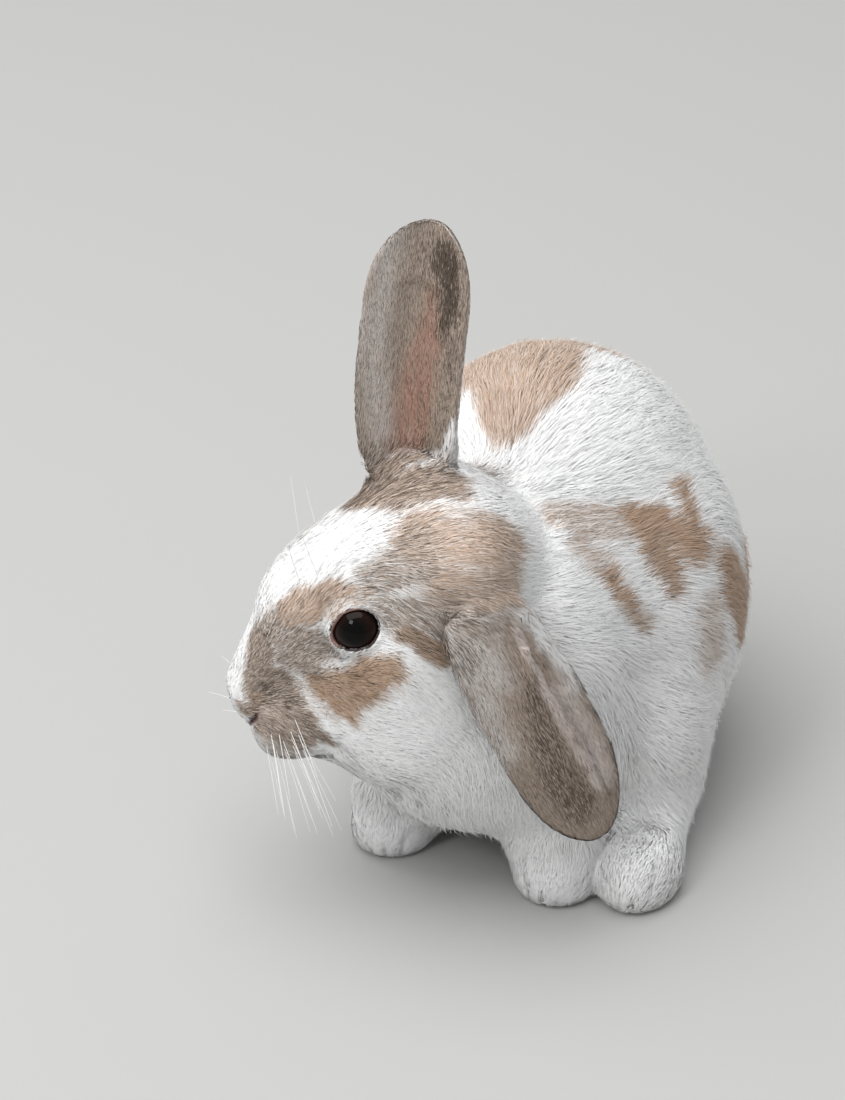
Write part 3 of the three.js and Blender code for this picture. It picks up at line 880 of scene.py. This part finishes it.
def mixed(tree, share, a, b):
    mix = tree.nodes.new("ShaderNodeMix")
    mix.data_type = "RGBA"
    tree.links.new(share, mix.inputs[0])
    for socket, value in ((mix.inputs[6], a), (mix.inputs[7], b)):
        if isinstance(value, tuple):
            socket.default_value = (*value, 1)
        else:
            tree.links.new(value, socket)
    return mix.outputs[2]


def multiplied(tree, a, b):
    product = tree.nodes.new("ShaderNodeMath")
    product.operation = "MULTIPLY"
    for socket, value in zip(product.inputs, (a, b)):
        if isinstance(value, float):
            socket.default_value = value
        else:
            tree.links.new(value, socket)
    product.use_clamp = True
    return product.outputs[0]


fur_colours = bpy.data.node_groups.new("fur colours", "ShaderNodeTree")
for name, kind in (("Marks", "NodeSocketColor"), ("Pink", "NodeSocketFloat"), ("Along", "NodeSocketFloat"),
                   ("Chance", "NodeSocketFloat")):
    fur_colours.interface.new_socket(name, in_out="INPUT", socket_type=kind)
fur_colours.interface.new_socket("Colour", in_out="OUTPUT", socket_type="NodeSocketColor")
fur_in = fur_colours.nodes.new("NodeGroupInput")
fur_out = fur_colours.nodes.new("NodeGroupOutput")
amounts = fur_colours.nodes.new("ShaderNodeSeparateColor")
fur_colours.links.new(fur_in.outputs["Marks"], amounts.inputs[0])
along, chance = fur_in.outputs["Along"], fur_in.outputs["Chance"]
white_tip = mixed(fur_colours, chance, (0.925, 0.925, 0.92), (0.975, 0.975, 0.97))
white = mixed(fur_colours, along, (0.91, 0.905, 0.90), white_tip)
fawn_tip = mixed(fur_colours, chance, (0.37, 0.222, 0.13), (0.635, 0.45, 0.32))
fawn = mixed(fur_colours, along, (0.54, 0.42, 0.335), fawn_tip)
smoke_tip = mixed(fur_colours, chance, (0.26, 0.195, 0.147), (0.53, 0.43, 0.35))
smoke = mixed(fur_colours, along, (0.29, 0.235, 0.20), smoke_tip)
coloured = mixed(fur_colours, amounts.outputs[0], white, fawn)
coloured = mixed(fur_colours, amounts.outputs[1], coloured, smoke)
bare_pink = (0.42, 0.21, 0.15)
tick_and_shade_end = (0.060, 0.042, 0.031)
pinkness = multiplied(fur_colours, fur_in.outputs["Pink"], 0.64)
coloured = mixed(fur_colours, pinkness, coloured, bare_pink)
dark_end = multiplied(fur_colours, amounts.outputs[2], multiplied(fur_colours, along, 1.8))
with_dark_ends = mixed(fur_colours, dark_end, coloured, tick_and_shade_end)
fur_colours.links.new(with_dark_ends, fur_out.inputs["Colour"])


def fur_group(tree):
    """The group placed in a material's tree, reading the marks on its mesh."""
    group = tree.nodes.new("ShaderNodeGroup")
    group.node_tree = fur_colours
    marks = attribute_of(tree, "marks")
    tree.links.new(marks["Color"], group.inputs["Marks"])
    tree.links.new(marks["Alpha"], group.inputs["Pink"])
    return group


coat_material, coat_tree, coat_shader = new_material(
    "coat", Roughness=0.55, Specular_IOR_Level=0.3, Sheen_Weight=0.05, Sheen_Roughness=0.4)
coat_group = fur_group(coat_tree)
strand_parts = coat_tree.nodes.new("ShaderNodeSeparateXYZ")
coat_tree.links.new(attribute_of(coat_tree, "strand")["Vector"], strand_parts.inputs[0])
coat_tree.links.new(strand_parts.outputs["X"], coat_group.inputs["Along"])
coat_tree.links.new(strand_parts.outputs["Y"], coat_group.inputs["Chance"])
coat_tree.links.new(coat_group.outputs["Colour"], coat_shader.inputs["Base Color"])

# The skin shows between tufts and on the ears. It is bare and moist in nostrils, mouth and lids, and nearly
# black there: partly the skin's own colour, partly painted shade in those hollows.
skin_material, skin_tree, skin_shader = new_material("skin", Roughness=0.6, Specular_IOR_Level=0.3)
skin_group = fur_group(skin_tree)
skin_group.inputs["Along"].default_value = 0.45
fluff = noise(skin_tree, 1500, 3)
place = skin_tree.nodes.new("ShaderNodeTexCoord")
skin_tree.links.new(place.outputs["Object"], fluff.inputs["Vector"])
skin_tree.links.new(fluff.outputs["Fac"], skin_group.inputs["Chance"])
bareness = attribute_of(skin_tree, "bareness")["Fac"]
moist_skin_and_hollow_shade = (0.050, 0.024, 0.020)
skin_colour = mixed(skin_tree, bareness, skin_group.outputs["Colour"], moist_skin_and_hollow_shade)
skin_tree.links.new(skin_colour, skin_shader.inputs["Base Color"])
add_relief(skin_tree, fluff.outputs["Fac"], 0.0003, skin_shader)
skin_mesh.materials.append(skin_material)


def bare_at(at):
    """How bare the skin is: in the nostrils, along the mouth and at the lids' edges."""
    bare = np.zeros(len(at))
    for path, radius, softness in folds:
        if radius < 2:
            away = from_path(at, [on_head(*place) for place in path])
            bare = np.maximum(bare, 1 - eased(away, radius + 0.1, radius + 1.1))
    local = in_head(at)
    for centre, gaze, corner, brow in eye_places:
        away = np.linalg.norm(local - centre, axis=1)
        bare = np.maximum(bare, 1 - eased(away, eye_radius + 0.5, eye_radius + 1.0))
    return bare


point_out = slope(points)
write_attribute(skin_mesh, "marks", "FLOAT_COLOR", markings(
    points + point_out * np.maximum(sampled(coat_depth, points, grain), 0.3)[:, None], point_out))
write_attribute(skin_mesh, "bareness", "FLOAT", bare_at(points))

# ------------------------ coat
# The coat is fine tufts over the skin. Each is a narrow blade that rises, bends over and lies
# back along the body, from the nose to the tail and down the limbs to the toes.

tuft_size_of = {  # length, width in millimetres and tufts to a square millimetre
    "muzzle": (4.2, 0.27, 10.2), "head": (7.5, 0.33, 7.2),
    "ear": (3.2, 0.26, 6.3),
    "neck": (12, 0.36, 6.3), "trunk": (13, 0.36, 4.8), "tail": (12, 0.44, 5.0),
    "foreleg": (9, 0.38, 5.5), "forepaw": (3.8, 0.32, 7.5),
    "thigh": (13, 0.36, 4.25), "hind_foot": (4.2, 0.28, 4.4)}
tuft_length, tuft_width, tuft_density = (
    shaded({part: size[k] for part, size in tuft_size_of.items()}) for k in range(3))


def lie_of_coat(at):
    """The way the hair points at each place, before it is laid along the surface."""
    local = in_head(at)
    forward, left, up = local.T
    from_nose = unit(local - np.array([50, 0, -12]))
    side = eased(np.abs(left), 8, 18)
    behind = eased(-forward, -4, 16)
    ones, zeros = np.ones(len(at)), np.zeros(len(at))
    rise = 0.35 * (1 - behind) - 0.95 * behind * side - 0.9 * eased(-up, 6, 20)
    backwards = np.stack([-ones, zeros, rise], 1)
    near_nose = eased(forward, 8, 30)[:, None]
    head_way = (from_nose * near_nose + unit(backwards) * (1 - near_nose)) @ head_axes
    rump = eased(at[:, 1], 20, 90)
    chest = eased(-at[:, 1], 35, 65) * eased(-at[:, 2], -95, -70)
    trunk_way = np.stack([
        0.15 * np.sign(at[:, 0]), 1 - 0.6 * rump - 0.9 * chest, -0.42 - 0.7 * rump - 0.8 * chest], 1)
    ways = {
        "head": head_way, "muzzle": head_way, "trunk": trunk_way,
        "neck": np.stack([0.35 * ones, ones, -0.5 * ones], 1),
        "tail": np.stack([zeros, 0.7 * ones, 0.8 * ones], 1),
        "ear_right": np.stack([0.05 * ones, 0.05 * ones, ones], 1),
        "ear_left": np.tile(0.07 * head_forward - head_up, (len(at), 1))}
    for name in ("left", "right"):
        ways["forepaw_" + name] = np.stack([zeros, -ones, -0.6 * ones], 1)
        ways["foreleg_" + name] = np.stack([zeros, 0.1 * ones, -ones], 1)
        ways["hind_foot_" + name] = np.stack([zeros, -ones, -0.6 * ones], 1)
        low = eased(-at[:, 2], -45, -20)
        ways["thigh_" + name] = np.stack([zeros, 0.75 - 0.5 * low, -0.65 - 0.4 * low], 1)
    return sum(sampled(influence[node], at, coarse_grain)[:, None] * unit(way) for node, way in ways.items())


corners = points[triangles]
face_middles = corners.mean(1)
face_out = np.cross(corners[:, 1] - corners[:, 0], corners[:, 2] - corners[:, 0])
face_area = np.linalg.norm(face_out, axis=1) / 2
face_bare = bare_at(face_middles) > 0.5
part_of_face = np.argmax([sampled(influence[node], face_middles, coarse_grain) for node in flesh], 0)

# The skin's shape is laid out flat for the coat's map: each part's faces that look one way make a
# chart, and the charts stand in rows on a square.
longest_axis = np.abs(face_out).argmax(1)
looks_up = np.take_along_axis(face_out, longest_axis[:, None], 1)[:, 0] > 0
chart_of_face = part_of_face * 6 + longest_axis * 2 + looks_up
flat_axes = np.array([[1, 2], [0, 2], [0, 1]])
charts = []
for chart in np.unique(chart_of_face):
    axes = flat_axes[chart % 6 // 2]
    spread = corners[chart_of_face == chart][..., axes].reshape(-1, 2)
    charts.append((chart, spread.min(0) - 2, spread.max(0) + 2))
charts.sort(key=lambda entry: entry[1][1] - entry[2][1])
map_size = 200.0
while True:
    chart_shift = {}
    across, row_low, row_high = 0.0, 0.0, 0.0
    for chart, low, high in charts:
        width, height = high - low
        if across + width > map_size:
            across, row_low = 0.0, row_high
        chart_shift[chart] = np.array([across, row_low]) - low
        row_high = max(row_high, row_low + height)
        across += width
    if row_high <= map_size:
        break
    map_size *= 1.03

coat_on_ears = 0.25  # depths, in millimetres
coat_at_lids = 0.45
thinnest_coat = 0.3
above_floor = 0.15
stray_share = 0.05
tuft_patch = 0.003  # a tuft's side on the map
blade_in_patch = np.array([(-0.5, -0.5), (0.5, -0.5), (-0.5, 0), (0.5, 0), (0, 0.5)]) * tuft_patch
blade_faces = np.array([[0, 3, 1], [0, 2, 3], [2, 4, 3]])


def grow_coat(name, faces):
    """One piece of the coat, over the given faces of the skin."""
    wanted = face_area[faces] * sampled(tuft_density, face_middles[faces], coarse_grain) * ~face_bare[faces]
    chosen = np.repeat(faces, random.poisson(wanted))
    n = len(chosen)
    # Where each tuft grows, how long and wide it is, and how high the coat stands there.
    shares = -np.log(random.random((n, 3)) + 1e-9)
    shares /= shares.sum(1, keepdims=True)
    root = (corners[chosen] * shares[..., None]).sum(1)
    out = unit((point_out[triangles[chosen]] * shares[..., None]).sum(1))
    length = sampled(tuft_length, root, coarse_grain) * (0.8 + 0.4 * random.random(n))
    width = sampled(tuft_width, root, coarse_grain) * (0.7 + 0.6 * random.random(n))
    depth = np.maximum(sampled(coat_depth, root, grain), thinnest_coat)
    on_ear = np.clip(sampled(influence["ear_left"], root, coarse_grain)
                     + sampled(influence["ear_right"], root, coarse_grain), 0, 1)
    depth = depth * (1 - on_ear) + coat_on_ears * on_ear
    local = in_head(root)
    near_ear = 1 - eased(np.linalg.norm(local - np.array([-30, -13, 22]), axis=1), 10, 20)
    length *= 1 - 0.45 * near_ear * (1 - on_ear)
    for centre, gaze, corner, brow in eye_places:
        near = 1 - eased(np.linalg.norm(local - centre, axis=1), eye_radius + 1, eye_radius + 9)
        length *= 1 - 0.65 * near
        width *= 1 - 0.3 * near
        depth = depth * (1 - near) + coat_at_lids * near
    # Which way it lies. Hairs wander a little from their neighbours' way.
    way = lie_of_coat(root)
    way = unit(way - out * (way * out).sum(1)[:, None])
    turn = 0.30 * waver(root, 16.0) + 0.22 * waver(root, 5.0, 5.0) + 0.12 * random.standard_normal(n)
    turn *= 1 - 0.55 * on_ear
    way = unit(way * np.cos(turn)[:, None] + np.cross(out, way) * np.sin(turn)[:, None])
    aside = np.cross(out, way)
    height = depth * (0.68 + 0.32 * random.random(n) ** 0.7) * (1 + 0.08 * waver(root, 6.0, 2.0))
    stray = random.random(n) < stray_share
    height *= 1 + 0.30 * stray * (length > 6)
    width *= 1 - 0.4 * stray
    # Long hair gathers in locks, so the tips are drawn together.
    lock = np.clip(length / 3.2, 1.2, 6.0)[:, None]
    gather = np.stack([waver(root / lock, 1.0, 11.0), waver(root / lock, 1.0, 17.0)], 1) * lock * 0.32
    twist = 0.3 * random.standard_normal(n)[:, None]
    # The blade's root, bend and tip, each brought to its height over the skin below it.
    rows, outs = [root - out * 0.3], [out]
    for reach, rise, draw in ((0.5, 0.85, 0.35), (1.0, 1.0, 1.0)):
        place = root + way * (length * reach)[:, None]
        place += draw * (aside * gather[:, :1] + 0.4 * way * gather[:, 1:])
        there = slope(place)
        for _ in range(2):
            above = sampled(skin_field, place, grain)
            place += there * np.clip(height * rise - above, -6, 6)[:, None]
        rows.append(place)
        outs.append(there)
    across = unit(aside * np.cos(twist) + out * np.sin(twist))
    half = across * width[:, None] / 2
    blade = np.stack([rows[0] - 0.7 * half, rows[0] + 0.7 * half, rows[1] - half, rows[1] + half, rows[2]], 1)
    blade[..., 2] = np.maximum(blade[..., 2], above_floor)
    # Its normals are mostly the skin's, so the coat is lit as one soft surface.
    tilt = 0.12 * across
    normals = np.stack([outs[0] - tilt, outs[0] + tilt, outs[1] - tilt + 0.1 * way,
                        outs[1] + tilt + 0.1 * way, outs[2] + 0.2 * way], 1)
    # Its colour. At the edge of a patch, hairs of both colours mingle.
    marks = markings(root + way * (0.55 * length)[:, None] + out * depth[:, None] * 0.8, out)
    mingled = (2.6 - 1.8 * on_ear[:, None]) * marks[:, :2] * (1 - marks[:, :2])
    marks[:, :2] = np.clip(marks[:, :2] + mingled * (random.random((n, 1)) - 0.5), 0, 1)
    # Dark ends fall on a share of the tufts, both for ticked hair and for painted shade.
    strength = random.uniform(0.35, 1, n) ** (1 - 0.7 * marks[:, 2]) * (0.5 + np.minimum(marks[:, 2], 0.5))
    marks[:, 2] = (random.random(n) < marks[:, 2]) * strength
    mesh = bpy.data.meshes.new(name)
    mesh.vertices.add(5 * n)
    mesh.vertices.foreach_set("co", (blade * MM).astype(np.float32).ravel())
    mesh.loops.add(9 * n)
    index = 5 * np.arange(n)[:, None, None] + blade_faces
    mesh.loops.foreach_set("vertex_index", index.astype(np.int32).ravel())
    mesh.polygons.add(3 * n)
    mesh.polygons.foreach_set("loop_start", np.arange(0, 9 * n, 3, dtype=np.int32))
    mesh.update(calc_edges=True)
    mesh.shade_smooth()
    mesh.normals_split_custom_set_from_vertices(unit(normals).reshape(-1, 3).astype(np.float32))
    write_attribute(mesh, "marks", "FLOAT_COLOR", np.repeat(marks, 5, 0))
    along = np.tile([0, 0, 0.5, 0.5, 1.0], n)
    chance = np.repeat(random.random(n), 5)
    write_attribute(mesh, "strand", "FLOAT_VECTOR", np.stack([along, chance, 0 * along], 1))
    # Its place on the coat's map.
    chart = chart_of_face[chosen]
    flat = np.take_along_axis(root, flat_axes[chart % 6 // 2], 1)
    shift = np.array([chart_shift.get(c, (0, 0)) for c in range(6 * len(flesh))])[chart]
    patch = ((flat + shift) / map_size)[:, None] + blade_in_patch
    layer = mesh.uv_layers.new(name="OFBake")
    layer.data.foreach_set("uv", np.clip(patch[:, blade_faces.ravel()], 0, 1).astype(np.float32).ravel())
    mesh.materials.append(coat_material)
    piece = put_in_scene(name, mesh)
    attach(piece, "root")


face_left = in_head(face_middles)[:, 1]


def faces_of(*nodes):
    return np.isin(part_of_face, [flesh.index(node) for node in nodes])


on_trunk = faces_of("trunk")
on_left = face_middles[:, 0] > 0
high_up = face_middles[:, 2] > 70
for name, chosen in {
        "coat_muzzle": faces_of("muzzle"),
        "coat_head_left": faces_of("head") & (face_left >= 0),
        "coat_head_right": faces_of("head") & (face_left < 0),
        "coat_ear_left": faces_of("ear_left"),
        "coat_ear_right": faces_of("ear_right"),
        "coat_neck": faces_of("neck"),
        "coat_back_left": on_trunk & high_up & on_left,
        "coat_back_right": on_trunk & high_up & ~on_left,
        "coat_belly_left": on_trunk & ~high_up & on_left,
        "coat_belly_right": on_trunk & ~high_up & ~on_left,
        "coat_thigh_left": faces_of("thigh_left"),
        "coat_thigh_right": faces_of("thigh_right", "tail"),
        "coat_forelegs": faces_of("foreleg_left", "foreleg_right", "forepaw_left", "forepaw_right"),
        "coat_hind_feet": faces_of("hind_foot_left", "hind_foot_right")}.items():
    grow_coat(name, np.flatnonzero(chosen))

# ------------------------ floor and light
# A plain pale floor. The light is that of a soft, overcast day: an even sky all round, a broad bright
# panel overhead, and a small window in front that glints in the eyes.

floor_mesh = bpy.data.meshes.new("floor")
floor_mesh.from_pydata([(-4, -4, 0), (4, -4, 0), (4, 4, 0), (-4, 4, 0)], [], [(0, 1, 2, 3)])
floor = put_in_scene("floor", floor_mesh)
floor_mesh.materials.append(new_material("floor", Base_Color=(0.42, 0.42, 0.41, 1), Roughness=0.8)[0])

world = bpy.data.worlds.new("world")
world.use_nodes = True
world.node_tree.nodes["Background"].inputs["Color"].default_value = (0.97, 0.985, 1, 1)
world.node_tree.nodes["Background"].inputs["Strength"].default_value = 0.5
bpy.context.scene.world = world
bpy.context.scene.view_settings.view_transform = "Standard"
for name, energy, size, place in (
        ("sky panel", 47, 2.2, (-0.45, -0.15, 1.8)), ("window", 4.5, 0.36, (-0.42, -1.15, 0.95))):
    lamp_data = bpy.data.lights.new(name, "AREA")
    lamp_data.energy = energy
    lamp_data.size = size
    lamp = put_in_scene(name, lamp_data)
    lamp.location = place
    lamp.rotation_euler = lamp.location.to_track_quat("Z", "Y").to_euler()
